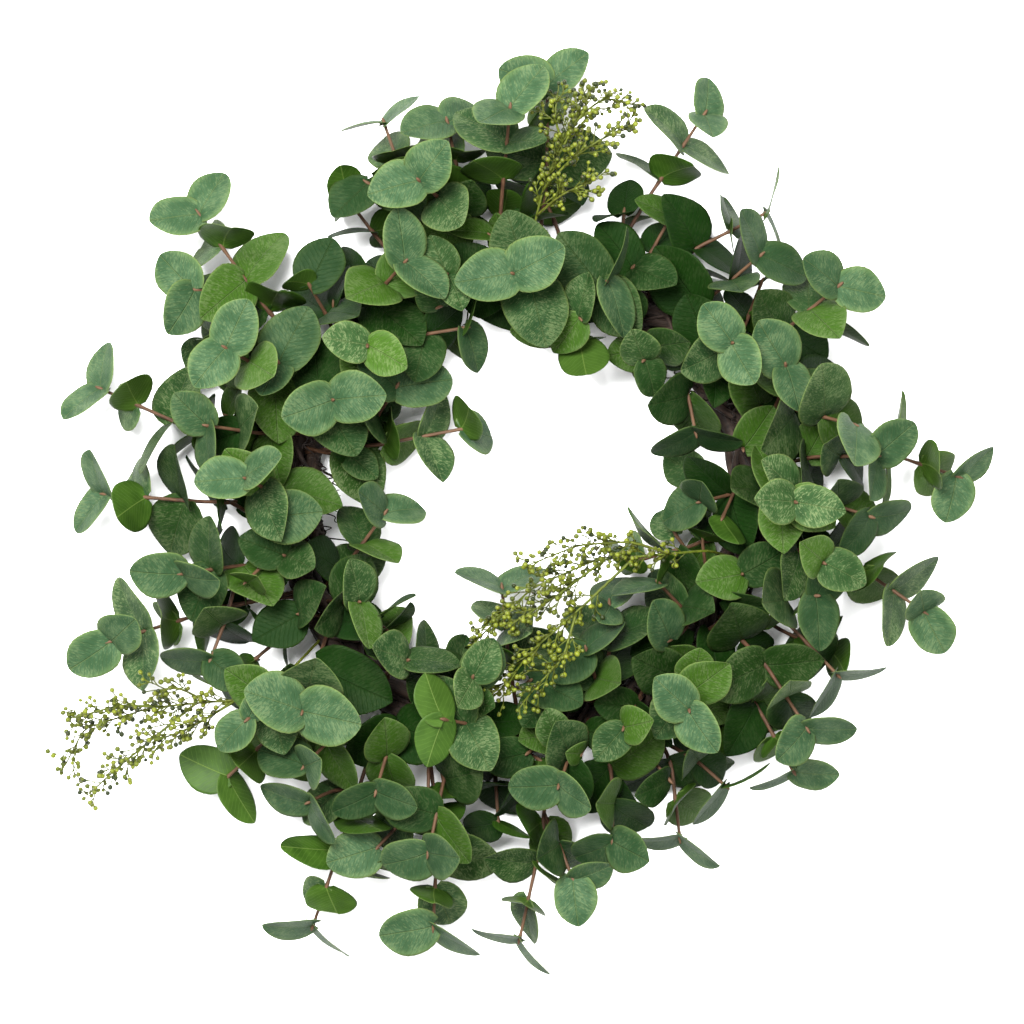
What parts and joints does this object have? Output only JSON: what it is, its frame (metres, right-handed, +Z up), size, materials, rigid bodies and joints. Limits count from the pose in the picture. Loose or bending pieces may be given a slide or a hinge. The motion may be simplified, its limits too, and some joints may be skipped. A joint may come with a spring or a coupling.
{
  "type": "eucalyptus wreath",
  "caption": "Round wreath of fresh round-leaved eucalyptus sprigs and seeded berry sprays fanned round a ring of twisted vines, lying on its back.",
  "frame": {"origin": "middle of the wreath's outline, on the surface it lies on", "axes": "+Z up from the surface to the face that shows, +Y to the top of the wreath as it hangs"},
  "size_m": [0.6099, 0.6096, 0.1183],
  "materials": {
    "vine": "rough dark bark",
    "leaf": "matt waxy leaf",
    "berry": "satin seed capsule"
  },
  "bodies": {
    "root": {"berry_spray_centre": "berry", "berry_spray_left": "berry", "berry_spray_top": "berry", "sprig_01": "leaf", "sprig_02": "leaf", "sprig_03": "leaf", "sprig_04": "leaf", "sprig_05": "leaf", "sprig_06": "leaf", "sprig_07": "leaf", "sprig_08": "leaf", "sprig_09": "leaf", "sprig_10": "leaf", "sprig_11": "leaf", "sprig_12": "leaf", "sprig_13": "leaf", "sprig_14": "leaf", "sprig_15": "leaf", "sprig_16": "leaf", "sprig_17": "leaf", "sprig_18": "leaf", "sprig_19": "leaf", "sprig_20": "leaf", "sprig_21": "leaf", "sprig_22": "leaf", "sprig_23": "leaf", "sprig_24": "leaf", "sprig_25": "leaf", "sprig_26": "leaf", "sprig_27": "leaf", "sprig_28": "leaf", "sprig_29": "leaf", "sprig_30": "leaf", "sprig_31": "leaf", "sprig_32": "leaf", "sprig_33": "leaf", "sprig_34": "leaf", "sprig_35": "leaf", "sprig_36": "leaf", "sprig_37": "leaf", "sprig_38": "leaf", "sprig_39": "leaf", "sprig_40": "leaf", "sprig_41": "leaf", "sprig_42": "leaf", "sprig_43": "leaf", "sprig_44": "leaf", "sprig_45": "leaf", "sprig_46": "leaf", "sprig_47": "leaf", "sprig_48": "leaf", "sprig_49": "leaf", "sprig_50": "leaf", "sprig_51": "leaf", "sprig_52": "leaf", "sprig_53": "leaf", "sprig_54": "leaf", "sprig_55": "leaf", "vine_ring": "vine"}
  },
  "joints": []
}
